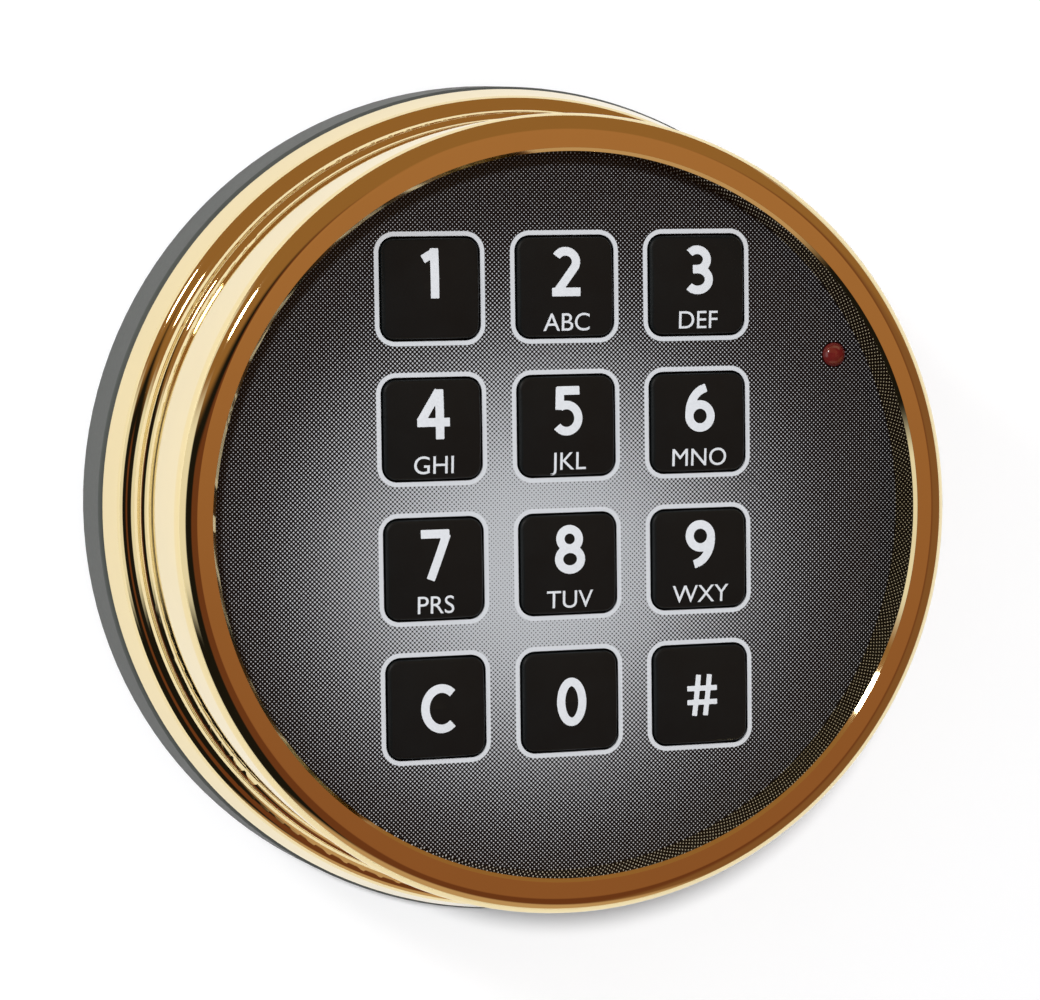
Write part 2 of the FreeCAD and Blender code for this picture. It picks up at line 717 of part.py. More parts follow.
def make_light():
    """The status light: foot, lens and crown, drawn on its own axis."""
    body = new_body("status_light")
    turn(body, "lens", [
        ("0", "board_front"),
        ("light_foot", "board_front"),
        ("light_foot", "board_front + light_foot_tall"),
        ("light_radius", "board_front + light_foot_tall"),
        ("light_radius", "film_front", "left",
         "(light_radius ^ 2 + light_crown ^ 2) / 2 / light_crown"),
        ("0", "film_front + light_crown"),
    ])
    place(body, "light_across", "light_up")


def make_board():
    """The round circuit board, with holes for its screws and the battery's pins."""
    body = new_body("circuit_board")
    block(body, "disc", "board_back", "board_thick", (draw_circle, "0", "0", "board_radius"))
    hole, unused = block(body, "screw_hole", "board_front", None,
                         (draw_circle, "post_across", "post_up", "board_hole"),
                         cut=True, through=True)
    mirror(body, hole, [XY, YZ])
    cut_pin_holes(body, "board_front")


def cut_pin_holes(body, depth):
    """Two holes for the pins of the battery's connector."""
    for name, sign in (("upper", "+"), ("lower", "-")):
        block(body, name + "_pin_hole", depth, None,
              (draw_circle, "pin_across", "battery_up %s pin_spacing / 2" % sign, "pin_radius"),
              cut=True, through=True)


def make_tray():
    """The tray: plate, clamping skirt, battery pocket, socket window and clip's pilot holes."""
    body = new_body("battery_tray")
    turn(body, "dish", [
        ("0", "snap_front"),
        ("insert_radius", "snap_front"),
        ("insert_radius", "fascia_back"),
        ("skirt_bore", "fascia_back"),
        ("skirt_bore", "plate_front"),
        ("0", "plate_front"),
    ])
    rib, unused = block(body, "rib", "plate_front - %s" % SINK, "tray_rib_tall + %s" % SINK,
                        (draw_rectangle, "tray_rib_across", "tray_rib_up", "tray_rib",
                         "tray_rib_long"))
    mirror(body, rib, [YZ])
    block(body, "walls", "plate_front - %s" % SINK, "pocket_front - plate_front + %s" % SINK,
          (draw_rectangle, "0", "battery_up", "pocket_long + 2 * tray_wall",
           "pocket_wide + 2 * tray_wall", "tray_wall"))
    block(body, "pocket", "battery_front", None,
          (draw_rectangle, "0", "battery_up", "pocket_long", "pocket_wide"),
          cut=True, through=True)
    block(body, "socket_window", "plate_front", None,
          (draw_rectangle, "0", "socket_up", "tray_window_wide", "tray_window_tall",
           "tray_wall"), cut=True, through=True)
    cut_pin_holes(body, "pocket_front")
    for name, up in clip_screw_places():
        block(body, name + "_pilot", "plate_front", None,
              (draw_circle, "clip_across", up, "clip_screw"), cut=True, through=True)


def clip_screw_places():
    """The two screws through the clip's feet."""
    reach = "battery_wide / 2 + clip_gap + clip_foot / 2 + clip_thick"
    return (("upper", "battery_up + " + reach), ("lower", "battery_up - (%s)" % reach))


def make_clip():
    """The spring strap over the battery, with a foot at each end on the tray."""
    body = new_body("battery_clip")
    sketch = new_sketch(body, "profile", YZ)
    inner = "battery_wide / 2 + clip_gap"
    outer = inner + " + clip_thick"
    toe = outer + " + clip_foot"
    half = [
        ("-(battery_back - clip_thick)", outer),
        ("-(snap_front - clip_thick)", outer),
        ("-(snap_front - clip_thick)", toe),
        ("-(snap_front)", toe),
        ("-(snap_front)", inner),
        ("-(battery_back)", inner),
    ]
    upper = [(depth, "battery_up + " + reach) for depth, reach in half]
    lower = [(depth, "battery_up - (%s)" % reach) for depth, reach in reversed(half)]
    draw_outline(sketch, upper + lower)
    bind(sketch, "AttachmentOffset.Base.z", "clip_across")
    strap = body.newObject("PartDesign::Pad", "battery_clip_strap")
    strap.Profile = sketch
    bind(strap, "Length", "clip_wide")
    strap.Midplane = True
    body.Tip = strap
    for name, up in clip_screw_places():
        block(body, name + "_hole", "snap_front", None,
              (draw_circle, "clip_across", up, "clip_screw"), cut=True, through=True)


def make_snap_ring():
    """The internal retaining ring, open at the bottom between two eyes."""
    body = new_body("retaining_ring")
    turn(body, "band", [
        ("snap_outer - snap_width", "snap_back + snap_play"),
        ("snap_outer", "snap_back + snap_play"),
        ("snap_outer", "snap_front - snap_play"),
        ("snap_outer - snap_width", "snap_front - snap_play"),
    ], angle="360 - snap_opening")
    body.Placement.Rotation = FreeCAD.Rotation(FreeCAD.Vector(0, 1, 0), -90)
    for name, sign in (("upper", ""), ("lower", "-")):
        eye = "snap_outer - snap_width"
        x = "-(%s) * cos(snap_opening / 2)" % eye
        y = "%s(%s) * sin(snap_opening / 2)" % (sign, eye)
        block(body, name + "_eye", "snap_back + snap_play", "snap_thick - 2 * snap_play",
              (draw_circle, x, y, "snap_eye"))
        block(body, name + "_eye_hole", "snap_front", None,
              (draw_circle, x, y, "snap_eye_hole"), cut=True, through=True)


def make_battery():
    """The sealed battery with its two terminals at the right."""
    body = new_body("battery")
    block(body, "can", "battery_back", "battery_thick",
          (draw_rectangle, "-stud_tall / 2", "battery_up", "can_long", "battery_wide",
           "battery_round"))
    for name, sign in (("upper", "+"), ("lower", "-")):
        sketch = new_sketch(body, name + "_stud_outline", YZ)
        draw_circle(sketch, "-(battery_back + battery_thick / 2)",
                    "battery_up %s stud_spacing / 2" % sign, "stud_radius")
        bind(sketch, "AttachmentOffset.Base.z", "can_right - %s" % SINK)
        stud = body.newObject("PartDesign::Pad", "battery_%s_stud" % name)
        stud.Profile = sketch
        bind(stud, "Length", "stud_tall + %s" % SINK)
        body.Tip = stud


def make_connector():
    """The block that takes the battery's terminals, and its two pins to the board."""
    body = new_body("battery_connector")
    block(body, "block", "battery_front - connector_tall", "connector_tall",
          (draw_rectangle, "can_right + connector_thick / 2", "battery_up", "connector_thick",
           "connector_wide"))
    for name, sign in (("upper", "+"), ("lower", "-")):
        sketch = new_sketch(body, name + "_socket_outline", YZ)
        draw_circle(sketch, "-(battery_back + battery_thick / 2)",
                    "battery_up %s stud_spacing / 2" % sign, "stud_radius + socket_gap")
        bind(sketch, "AttachmentOffset.Base.z", "can_right + stud_tall")
        socket = body.newObject("PartDesign::Pocket", "battery_connector_%s_socket" % name)
        socket.Profile = sketch
        socket.Type = "ThroughAll"
        body.Tip = socket
    pins = [make_pin(name, sign) for name, sign in (("upper", "+"), ("lower", "-"))]
    group("battery_pins", pins)


def make_pin(name, sign):
    """One pin from the connector through the tray and the board."""
    pin = doc.addObject("Part::Cylinder", name + "_pin")
    bind(pin, "Radius", "pin_radius")
    bind(pin, "Height", "board_front - battery_front")
    pin.Placement.Rotation = FreeCAD.Rotation(FreeCAD.Vector(1, 0, 0), 90)
    bind(pin, "Placement.Base.x", "pin_across")
    bind(pin, "Placement.Base.y", "-(battery_front)")
    bind(pin, "Placement.Base.z", "battery_up %s pin_spacing / 2" % sign)
    return pin


def group(label, members):
    """Like pieces as one sub-part of separate solids."""
    compound = doc.addObject("Part::Compound", label)
    compound.Label = label
    compound.Links = members
    return compound


def make_screw(label, across, up, head_back, shank, head, head_tall, length):
    """A screw seen from behind: its shank points to the front and its head has a slot."""
    body = new_body(label)
    turn(body, "turned", [
        ("0", head_back),
        (head + " - screw_round", head_back, "left", "screw_round"),
        (head, head_back + " + screw_round"),
        (head, "%s + %s" % (head_back, head_tall)),
        (shank, "%s + %s" % (head_back, head_tall)),
        (shank, "%s + %s + %s" % (head_back, head_tall, length)),
        ("0", "%s + %s + %s" % (head_back, head_tall, length)),
    ])
    block(body, "slot", "%s + %s / 2" % (head_back, head_tall), None,
          (draw_rectangle, "0", "0", "2 * (%s + %s)" % (head, OVERRUN), "screw_slot"),
          cut=True, through=True)
    place(body, across, up)
    return body


def make_screws():
    """Four screws in the fascia's posts and two in the clip's feet."""
    places = [(x, y) for x in ("post_across", "-post_across") for y in ("post_up", "-post_up")]
    group("board_screws", [
        make_screw("board_screw_%d" % number, across, up, "board_back - screw_head_tall",
                   "pilot_radius", "screw_head", "screw_head_tall",
                   "board_thick + fascia_back - board_front + pilot_depth")
        for number, (across, up) in enumerate(places, start=1)
    ])
    group("clip_screws", [
        make_screw(name + "_clip_screw", "clip_across", up,
                   "snap_front - clip_thick - clip_head_tall", "clip_screw", "clip_head",
                   "clip_head_tall", "clip_thick + tray_plate")
        for name, up in clip_screw_places()
    ])


def make_chip():
    """The controller with a row of legs along each side."""
    body = new_body("controller_chip")
    block(body, "case", "board_back - chip_tall", "chip_tall - chip_rise",
          (draw_rectangle, "0", "chip_up", "chip_long", "chip_wide"))
    leg, sketch = block(body, "legs", "board_back - leg_wide", "leg_wide",
                        (draw_rectangle, "-(chip_legs - 1) / 2 * leg_pitch", "chip_up",
                         "leg_wide", "chip_wide + 2 * leg_reach"))
    row = body.newObject("PartDesign::LinearPattern", "controller_chip_row")
    row.Originals = [leg]
    row.Direction = (sketch, ["H_Axis"])
    bind(row, "Occurrences", "chip_legs")
    bind(row, "Length", "(chip_legs - 1) * leg_pitch")
    body.Tip = row


def make_capacitor():
    """The capacitor: a can with a groove round its foot, drawn on its own axis."""
    body = new_body("capacitor")
    turn(body, "can", [
        ("0", "board_back - capacitor_tall"),
        ("capacitor_radius - capacitor_crimp", "board_back - capacitor_tall", "left",
         "capacitor_crimp"),
        ("capacitor_radius", "board_back - capacitor_tall + capacitor_crimp"),
        ("capacitor_radius", "board_back - capacitor_foot - capacitor_crimp"),
        ("capacitor_radius - capacitor_crimp", "board_back - capacitor_foot"),
        ("capacitor_radius", "board_back - capacitor_foot + capacitor_crimp"),
        ("capacitor_radius", "board_back"),
        ("0", "board_back"),
    ])
    place(body, "capacitor_across", "capacitor_up")


def make_crystal():
    """The crystal: a drawn can with round ends on a flat foot."""
    body = new_body("crystal")
    block(body, "foot", "board_back - crystal_foot", "crystal_foot",
          (draw_rectangle, "crystal_across", "crystal_up", "crystal_long + 2 * crystal_flange",
           "crystal_wide + 2 * crystal_flange", "(crystal_end + crystal_flange)"))
    block(body, "can", "board_back - crystal_tall", "crystal_tall - crystal_foot + %s" % SINK,
          (draw_rectangle, "crystal_across", "crystal_up", "crystal_long", "crystal_wide",
           "crystal_end"))


def make_board_parts():
    """The buzzer, capacitor, crystal and cable socket on the board's back."""
    buzzer = new_body("buzzer")
    block(buzzer, "case", "board_back - buzzer_tall", "buzzer_tall",
          (draw_circle, "buzzer_across", "buzzer_up", "buzzer_radius"))
    block(buzzer, "port", "board_back - buzzer_tall / 2", None,
          (draw_circle, "buzzer_across", "buzzer_up", "buzzer_port"), cut=True, through=True)
    make_capacitor()
    make_crystal()
    socket = new_body("cable_socket")
    block(socket, "shell", "board_back - socket_tall", "socket_tall",
          (draw_rectangle, "0", "socket_up", "socket_wide", "socket_deep"))
    block(socket, "mouth", "board_back - socket_wall", None,
          (draw_rectangle, "0", "socket_up", "socket_wide - 2 * socket_wall",
           "socket_deep - 2 * socket_wall"), cut=True, through=True)


def make_all():
    """Every sub-part of the lock."""
    make_base()
    make_housing()
    make_seal()
    make_film()
    make_fascia()
    for row, labels in enumerate(KEYS):
        for column, label in enumerate(labels):
            make_key(label, *key_place(column, row))
            make_dome(label, *key_place(column, row))
    make_light()
    make_board()
    make_tray()
    make_snap_ring()
    make_battery()
    make_connector()
    make_clip()
    make_screws()
    make_chip()
    make_board_parts()


def sub_parts():
    """The objects that are sub-parts: bodies and groups that no group holds."""
    kinds = ("PartDesign::Body", "Part::Compound", "Part::Torus")
    members = [link for item in doc.Objects if item.TypeId == kinds[1] for link in item.Links]
    return [item for item in doc.Objects if item.TypeId in kinds and item not in members]


def check(parts):
    """Stop unless every object is up to date and every sub-part is a valid solid."""
    for item in doc.Objects:
        if "Invalid" in item.State or "Error" in item.State:
            raise RuntimeError(item.Label + " failed: " + ", ".join(item.State))
    for part in parts:
        if part.Shape.isNull() or not part.Shape.isValid() or part.Shape.Volume <= 0:
            raise RuntimeError(part.Label + " is not a valid solid")


make_all()
doc.recompute()
finished = sub_parts()
check(finished)
os.makedirs("parts", exist_ok=True)
for part in finished:
    part.Shape.exportStep("parts/%s.step" % part.Label)
print("%d sub-parts, %.1f cm3" % (len(finished), sum(p.Shape.Volume for p in finished) / 1000))
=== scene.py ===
"""Looks for the round electronic safe lock: plated housing, printed film, keys and what is inside.

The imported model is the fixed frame: +X right, +Y into the door, +Z up, in metres.
"""

import math

import bmesh
import bpy
from bpy.props import FloatProperty, FloatVectorProperty, PointerProperty
from mathutils import Matrix, Vector
from mathutils.bvhtree import BVHTree


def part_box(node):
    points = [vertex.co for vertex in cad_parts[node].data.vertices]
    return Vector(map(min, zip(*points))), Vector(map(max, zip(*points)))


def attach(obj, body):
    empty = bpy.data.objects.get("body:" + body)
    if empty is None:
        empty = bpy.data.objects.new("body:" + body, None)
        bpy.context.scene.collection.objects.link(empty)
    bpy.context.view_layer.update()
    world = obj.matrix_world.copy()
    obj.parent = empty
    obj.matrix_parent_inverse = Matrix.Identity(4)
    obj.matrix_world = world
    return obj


bl_info = {
    "name": "Safe Lock Keypad Looks",
    "version": (1, 0, 0),
    "blender": (4, 5, 0),
    "location": "View3D > Sidebar > Safe Lock",
    "description": "Dresses a round electronic safe lock keypad in its finishes",
    "category": "Object",
}

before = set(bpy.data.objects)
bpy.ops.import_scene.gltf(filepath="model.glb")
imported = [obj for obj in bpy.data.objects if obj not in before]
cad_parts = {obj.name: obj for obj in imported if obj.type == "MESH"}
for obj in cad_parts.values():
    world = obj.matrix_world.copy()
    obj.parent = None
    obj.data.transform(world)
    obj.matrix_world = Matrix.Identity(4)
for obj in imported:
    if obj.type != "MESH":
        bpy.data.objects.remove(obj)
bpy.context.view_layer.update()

MM = 0.001
KEY_ROWS = (("1", "2", "3"), ("4", "5", "6"), ("7", "8", "9"), ("c", "0", "hash"))
LABELS = [label for row in KEY_ROWS for label in row]
LETTERS = {
    "2": "ABC", "3": "DEF", "4": "GHI", "5": "JKL",
    "6": "MNO", "7": "PRS", "8": "TUV", "9": "WXY",
}

# Where the frame has the film's front
FILM_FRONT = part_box("overlay_film")[0].y


def key_centre(label):
    """The middle of a key, with y at the front of its crown."""
    low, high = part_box("key_" + label)
    return Vector(((low.x + high.x) / 2, low.y, (low.z + high.z) / 2))


GRID_STEP = (key_centre("3").x - key_centre("1").x) / 2
GRID_CENTRE = (key_centre("5") + key_centre("8")) / 2


class Socket:
    """A shader value or colour that maths can be written on."""

    def __init__(self, shader, output):
        self.shader = shader
        self.output = output

    def math(self, operation, *values):
        """A Math node on this value and others."""
        return self.shader.node("ShaderNodeMath", {"operation": operation}, self, *values)

    def __add__(self, other):
        return self.math("ADD", other)

    def __sub__(self, other):
        return self.math("SUBTRACT", other)

    def __mul__(self, other):
        return self.math("MULTIPLY", other)

    def __truediv__(self, other):
        return self.math("DIVIDE", other)

    def __radd__(self, other):
        return self.math("ADD", other)

    def __rmul__(self, other):
        return self.math("MULTIPLY", other)

    def __rsub__(self, other):
        return self.shader.node("ShaderNodeMath", {"operation": "SUBTRACT"}, other, self)

    def __abs__(self):
        return self.math("ABSOLUTE")

    def clamp(self):
        """The value held between 0 and 1."""
        return self.math("MAXIMUM", 0.0).math("MINIMUM", 1.0)

    def ease(self, low, high):
        """A smooth step from 0 at low to 1 at high."""
        settings = {"interpolation_type": "SMOOTHSTEP"}
        return self.shader.node("ShaderNodeMapRange", settings, self, low, high, 0.0, 1.0)


class Shader:
    """A node tree that is written as expressions."""

    def __init__(self, tree):
        self.tree = tree
        self.tree.nodes.clear()

    def node(self, kind, settings=None, *values, output=0, **named):
        """Any node: its settings first, then values or links, in order or by socket name."""
        made = self.tree.nodes.new(kind)
        for name, setting in (settings or {}).items():
            setattr(made, name, setting)
        chosen = list(zip(made.inputs, values))
        chosen += [(made.inputs[name.replace("_", " ")], value) for name, value in named.items()]
        for entry, value in chosen:
            if isinstance(value, Socket):
                self.tree.links.new(value.output, entry)
            elif value is not None:
                entry.default_value = value
        return Socket(self, made.outputs[output])

    def place(self):
        """The point in the frame, in millimetres, as x, y and z."""
        point = self.node("ShaderNodeTexCoord", output="Object")
        scaled = self.node("ShaderNodeVectorMath", {"operation": "MULTIPLY"},
                           point, (1 / MM, 1 / MM, 1 / MM))
        return scaled, [self.node("ShaderNodeSeparateXYZ", {}, scaled, output=axis)
                        for axis in "XYZ"]

    def noise(self, point, scale, detail=2.0, roughness=0.5):
        """Smooth noise between 0 and 1."""
        return self.node("ShaderNodeTexNoise", {}, Vector=point, Scale=scale, Detail=detail,
                         Roughness=roughness)

    def mix(self, factor, first, second):
        """One colour or another."""
        mixer = self.tree.nodes.new("ShaderNodeMix")
        mixer.data_type = "RGBA"
        for entry, value in ((mixer.inputs[0], factor), (mixer.inputs[6], first),
                             (mixer.inputs[7], second)):
            if isinstance(value, Socket):
                self.tree.links.new(value.output, entry)
            elif isinstance(value, (int, float)):
                entry.default_value = value
            else:
                entry.default_value = (*value[:3], 1.0)
        return Socket(self, mixer.outputs[2])

    def bump(self, height, distance, strength=1.0):
        """A normal that a height in units of distance bends."""
        return self.node("ShaderNodeBump", {}, Strength=strength, Distance=distance,
                         Height=height)


def new_material(name):
    """An empty material and the shader to write it with."""
    material = bpy.data.materials.new(name)
    material.use_nodes = True
    return material, Shader(material.node_tree)


def principled(shader, **sockets):
    """The surface from plain numbers and links, joined to the output."""
    surface = shader.tree.nodes.new("ShaderNodeBsdfPrincipled")
    for name, value in sockets.items():
        entry = surface.inputs[name.replace("_", " ")]
        if isinstance(value, Socket):
            shader.tree.links.new(value.output, entry)
        elif entry.type == "RGBA":
            entry.default_value = (*value[:3], 1.0)
        else:
            entry.default_value = value
    out = shader.tree.nodes.new("ShaderNodeOutputMaterial")
    shader.tree.links.new(surface.outputs[0], out.inputs["Surface"])
    return surface


def colour(name, description, default):
    """A colour that the panel shows."""
    return FloatVectorProperty(name=name, description=description, subtype="COLOR", size=3,
                               min=0.0, max=1.0, default=default)


class SafeLockFinish(bpy.types.PropertyGroup):
    """Finishes of the pieces that show."""

    gold: colour("Gold", "Colour of the plating seen straight on", (0.81, 0.67, 0.37))
    gold_roughness: FloatProperty(
        name="Gold roughness", description="How blurred the plating reflects", default=0.035,
        min=0.0, max=1.0)
    base: colour("Base", "Colour of the base's paint", (0.060, 0.066, 0.060))
    print_light: colour("Print", "Pale ink of dots, borders and signs", (0.62, 0.64, 0.67))
    print_dark: colour("Ground", "Dark ground of the film", (0.004, 0.004, 0.005))
    dot_step: FloatProperty(
        name="Dot step", description="Distance between neighbouring dots of the print",
        default=0.347 * MM, min=0.0, unit="LENGTH")
    border_width: FloatProperty(
        name="Border width", description="Width of the line round a key",
        default=0.5 * MM, min=0.0, unit="LENGTH")
    key: colour("Keys", "Colour of the keys", (0.004, 0.0055, 0.006))


class SafeLockSigns(bpy.types.PropertyGroup):
    """Sizes of the signs on the keys."""

    numeral_up: FloatProperty(
        name="Numeral up", description="A numeral's middle above the key's middle",
        default=1.65 * MM, unit="LENGTH")
    letter_height: FloatProperty(
        name="Letter height", description="Height of the small letters", default=1.9 * MM,
        min=0.0, unit="LENGTH")
    letter_up: FloatProperty(
        name="Letter up", description="The letters' middle above the key's middle",
        default=-3.85 * MM, unit="LENGTH")


def finish_settings():
    """The finishes that the panel holds."""
    return bpy.context.scene.safe_lock_finish


def sign_settings():
    """The signs' sizes that the panel holds."""
    return bpy.context.scene.safe_lock_signs


def dress(node, material):
    """Give a CAD node its material."""
    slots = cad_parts[node].data.materials
    slots.clear()
    slots.append(material)


def gold_material():
    """Polished gold-coloured plating: faint haze and wear, and the side's slight draft."""
    settings = finish_settings()
    material, shader = new_material("gold_plating")
    point, (x, y, z) = shader.place()
    haze = shader.noise(point, 0.10, 3.0)
    grain = shader.noise(point, 3.0, 4.0)
    worn = haze.ease(0.45, 0.7)
    out = (x * x + z * z).math("SQRT")
    depth = y * -1.0
    side = out.ease(SIDE_RADIUS - 0.6, SIDE_RADIUS - 0.1) * (1 - out.ease(
        SIDE_RADIUS + 0.1, SIDE_RADIUS + 0.3)) * depth.ease(SIDE_BACK - 0.3, SIDE_BACK + 0.3)
    lean = shader.node("ShaderNodeCombineXYZ", {}, 0.0, side * -math.tan(SIDE_DRAFT), 0.0)
    normal = shader.node("ShaderNodeNewGeometry", output="Normal")
    leaning = shader.node("ShaderNodeVectorMath", {"operation": "ADD"}, normal, lean)
    straight = shader.node("ShaderNodeVectorMath", {"operation": "NORMALIZE"}, leaning)
    principled(
        shader,
        Base_Color=shader.mix(worn * 0.25, settings.gold, [part * 0.93 for part in settings.gold]),
        Metallic=1.0,
        Roughness=settings.gold_roughness + worn * 0.015 + grain * 0.01,
        Normal=straight,
    )
    return material


# The plated outside of the housing from the rim's back to the film, as radius and depth from the
# door in millimetres: a line's two ends, or an arc's centre, radius (below zero where hollow) and
# the directions that its ends face, in degrees from outwards to the front
SIDE_RADIUS = 43.7
SIDE_BACK = 17.76
SIDE_DRAFT = math.radians(5.5)
PLATED_OUTLINE = (
    ((45.7, 9.1), (47.6, 9.1)),
    ((47.6, 9.1), (46.66, 13.05)),
    ((45.395, 12.749), 1.3, 13.4, 75.0),
    ((46.146, 15.55), -1.6, 75.0, 0.0),
    ((44.546, 15.55), (44.546, 16.69)),
    ((44.8, SIDE_BACK), -1.1, 76.6, 0.0),
    ((SIDE_RADIUS, SIDE_BACK), (SIDE_RADIUS, 32.7)),
    ((41.5, 32.7), 2.2, 0.0, 90.0),
    ((41.5, 34.9), (39.95, 34.9)),
    ((39.95, 34.9), (39.6, 34.55)),
    ((39.6, 34.55), (39.6, 29.52)),
)
PLATING_THICK = 0.03
ARC_STEPS = 14
TURN_STEPS = 384


def outline_rows():
    """Points of the plated outline with the way that each faces, both as radius and depth."""
    rows = []
    for first, second, *ends in PLATED_OUTLINE:
        if ends:
            for number in range(ARC_STEPS + 1):
                angle = math.radians(ends[0] + (ends[1] - ends[0]) * number / ARC_STEPS)
                way = Vector((math.cos(angle), math.sin(angle)))
                rows.append((Vector(first) + way * second, way))
        else:
            along = (Vector(second) - Vector(first)).normalized()
            way = Vector((along.y, -along.x))
            rows += [(Vector(first), way), (Vector(second), way)]
    return [(point + way * PLATING_THICK, way) for point, way in rows]


def make_plating(material):
    """The plating itself, a thin smooth skin over the casting's outside."""
    rows = outline_rows()
    turns = [2 * math.pi * number / TURN_STEPS for number in range(TURN_STEPS)]
    vertices, normals, faces = [], [], []
    for point, way in rows:
        for turn in turns:
            across, up = math.cos(turn), math.sin(turn)
            vertices.append((point.x * across * MM, -point.y * MM, point.x * up * MM))
            normals.append((way.x * across, -way.y, way.x * up))
    for row in range(len(rows) - 1):
        if (rows[row][0] - rows[row + 1][0]).length < 0.001:
            continue
        for number in range(TURN_STEPS):
            here = row * TURN_STEPS + number
            after = row * TURN_STEPS + (number + 1) % TURN_STEPS
            faces.append((here, after, after + TURN_STEPS, here + TURN_STEPS))
    mesh = bpy.data.meshes.new("plating")
    mesh.from_pydata(vertices, [], faces)
    for face in mesh.polygons:
        face.use_smooth = True
    mesh.update()
    mesh.normals_split_custom_set_from_vertices(normals)
    mesh.materials.append(material)
    skin = bpy.data.objects.new("plating", mesh)
    bpy.context.scene.collection.objects.link(skin)
    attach(skin, "head")


def base_material():
    """Satin grey paint with a fine orange peel."""
    material, shader = new_material("base_paint")
    point, unused = shader.place()
    peel = shader.noise(point, 2.2, 3.0)
    cloud = shader.noise(point, 0.08, 2.0)
    grey = finish_settings().base
    principled(
        shader,
        Base_Color=shader.mix(cloud, [part * 0.92 for part in grey], [part * 1.08 for part in grey]),
        Roughness=0.48 + peel * 0.12,
        Specular_IOR_Level=0.35,
        Normal=shader.bump(peel, 0.00002, 0.35),
    )
    return material


def rounded_square(x, z, half, corner):
    """Signed distance in millimetres from a rounded square's edge."""
    across = (abs(x) - (half - corner)).math("MAXIMUM", 0.0)
    up = (abs(z) - (half - corner)).math("MAXIMUM", 0.0)
    return (across * across + up * up).math("SQRT") - corner


# The print: the window in the line round a key, the dots' radii in steps and where it glows, in mm
KEY_WINDOW_HALF = 5.68
KEY_WINDOW_CORNER = 1.75
DOT_LEAST = 0.16
DOT_GROWTH = 0.42
DOT_EDGE = 0.07
GLOW_CENTRE = (-3.0, -5.0)
GLOW_REACH = 42.0


def film_material():
    """Black film with a print of light dots that fades outwards, and a line round each key."""
    settings = finish_settings()
    material, shader = new_material("printed_film")
    point, (x, y, z) = shader.place()
    step = settings.dot_step / MM
    turn = math.sqrt(0.5) / step
    u = ((x + z) * turn).math("FRACT") - 0.5
    v = ((x - z) * turn).math("FRACT") - 0.5
    from_dot = (u * u + v * v).math("SQRT")
    glow = glow_of_print(x, z)
    reach = DOT_LEAST + glow * DOT_GROWTH
    dots = 1 - (from_dot - reach).ease(-DOT_EDGE, DOT_EDGE)
    across = wrapped(x, GRID_CENTRE.x, 3)
    up = wrapped(z, GRID_CENTRE.z, 4)
    window = rounded_square(across, up, KEY_WINDOW_HALF, KEY_WINDOW_CORNER)
    half = settings.border_width / MM / 2
    line = abs(window - half).ease(half + 0.03, half - 0.03)
    ground = window.ease(0.0, 0.02)
    ink = (dots * ground).math("MAXIMUM", line)
    level = shader.mix(line, [part * 0.78 for part in settings.print_light],
                       settings.print_light)
    weave = shader.noise(point, 6.0, 2.0)
    principled(
        shader,
        Base_Color=shader.mix(ink, settings.print_dark, level),
        Roughness=0.34 + weave * 0.10,
        Specular_IOR_Level=0.3,
        Normal=shader.bump(weave, 0.00001, 0.25),
    )
    return material


def wrapped(axis, centre, count):
    """Distance from the nearest key's centre along one axis, in millimetres."""
    step = GRID_STEP / MM
    first = centre / MM - (count - 1) / 2 * step
    index = ((axis - first) / step).math("ROUND").math("MAXIMUM", 0.0)
    index = index.math("MINIMUM", float(count - 1))
    return axis - first - index * step


def glow_of_print(x, z):
    """How light the print is: a soft oval glow round the middle of the keypad."""
    across = (x - GLOW_CENTRE[0]) / GLOW_REACH
    up = (z - GLOW_CENTRE[1]) / GLOW_REACH
    return 1 - (across * across + up * up).math("SQRT").ease(0.0, 1.0)


def key_material():
    """Semi-gloss black caps with a fine grain."""
    settings = finish_settings()
    material, shader = new_material("key_cap")
    point, unused = shader.place()
    grain = shader.noise(point, 5.0, 4.0, 0.7)
    cloud = shader.noise(point, 0.35, 2.0)
    principled(
        shader,
        Base_Color=shader.mix(cloud, settings.key, [part * 1.5 for part in settings.key]),
        Roughness=0.36 + grain * 0.16,
        Specular_IOR_Level=0.3,
        Normal=shader.bump(grain, 0.00003, 0.5),
    )
    return material


def sign_material():
    """Pale ink of the numerals and letters."""
    material, shader = new_material("sign_ink")
    point, unused = shader.place()
    speckle = shader.noise(point, 4.0, 3.0)
    light = finish_settings().print_light
    principled(
        shader,
        Base_Color=shader.mix(speckle, [part * 1.02 for part in light],
                              [min(part * 1.25, 0.95) for part in light]),
        Roughness=0.45,
        Normal=shader.bump(speckle, 0.00001, 0.3),
    )
    return material


def light_material():
    """Dark red tinted lens."""
    material, shader = new_material("status_lens")
    point, unused = shader.place()
    cloud = shader.noise(point, 0.9, 2.0)
    principled(
        shader,
        Base_Color=shader.mix(cloud, (0.10, 0.008, 0.008), (0.16, 0.014, 0.012)),
        Roughness=0.12 + cloud * 0.06,
        Coat_Weight=0.6,
    )
    return material


def plain_material(name, first, second, roughness, metallic=0.0, scale=1.5, bump=0.00001):
    """A moulded or drawn finish: two close tones, broken gloss and a fine grain."""
    material, shader = new_material(name)
    point, unused = shader.place()
    cloud = shader.noise(point, scale * 0.2, 2.0)
    grain = shader.noise(point, scale * 3.0, 3.0)
    principled(
        shader,
        Base_Color=shader.mix(cloud, first, second),
        Metallic=metallic,
        Roughness=roughness + grain * 0.1,
        Normal=shader.bump(grain, bump, 0.4),
    )
    return material


